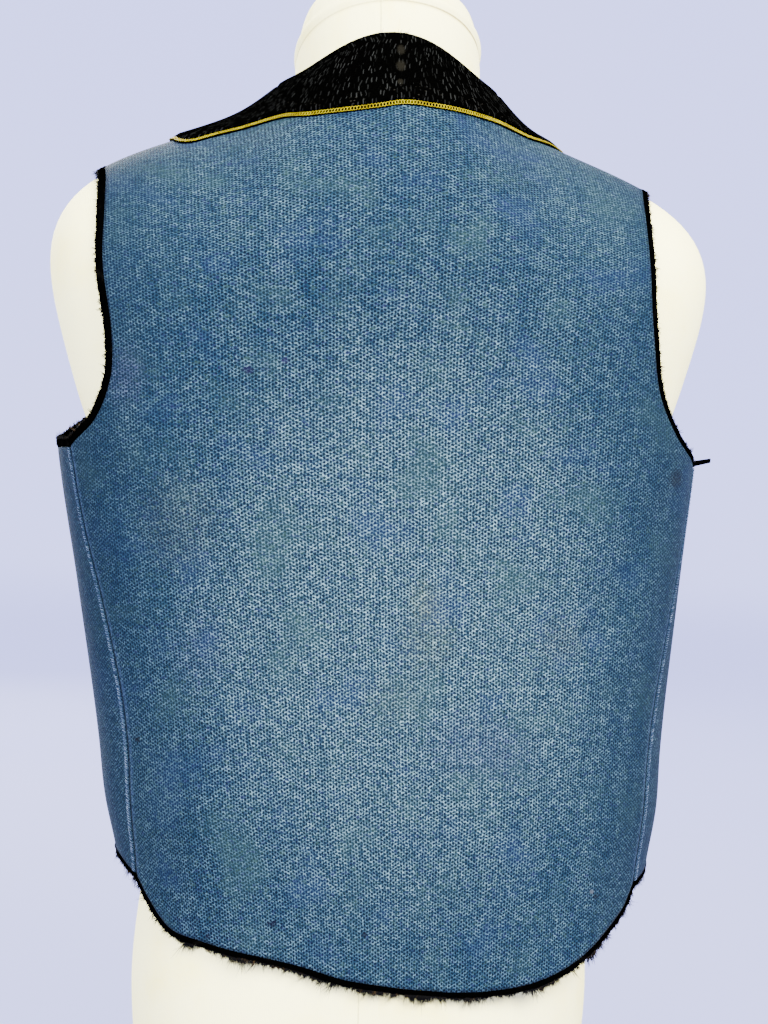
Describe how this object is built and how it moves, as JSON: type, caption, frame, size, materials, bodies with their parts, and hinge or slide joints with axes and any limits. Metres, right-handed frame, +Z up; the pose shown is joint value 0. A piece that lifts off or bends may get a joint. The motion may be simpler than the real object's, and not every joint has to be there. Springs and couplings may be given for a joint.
{
  "type": "embroidered folk vest on a limbless dress form",
  "caption": "Sleeveless folk vest of mottled blue cloth with a black velvet collar, gold chain braid and frayed black edge bindings, worn open over a limbless dress form.",
  "frame": {"origin": "middle of the dress form's flat bottom, which stands on the surface", "axes": "+Z up the form, +Y towards the vest's back, +X towards the wearer's left; the fronts face -Y"},
  "size_m": [0.4536, 0.2576, 0.7545],
  "materials": {
    "blue_cloth": "matt mottled blue woven cloth with dark flecks, faded and stained",
    "black_velvet": "worn black velvet with frayed edges",
    "gold_thread": "yellow-gold thread, slight sheen",
    "form_jersey": "smooth cream-white jersey"
  },
  "bodies": {
    "root": {"back": "blue_cloth", "front_left": "blue_cloth", "front_right": "blue_cloth", "collar": "black_velvet", "gold_braid": "gold_thread", "armhole_binding_left": "black_velvet", "armhole_binding_right": "black_velvet", "edge_binding_left": "black_velvet", "edge_binding_right": "black_velvet", "dress_form": "form_jersey"}
  },
  "joints": []
}
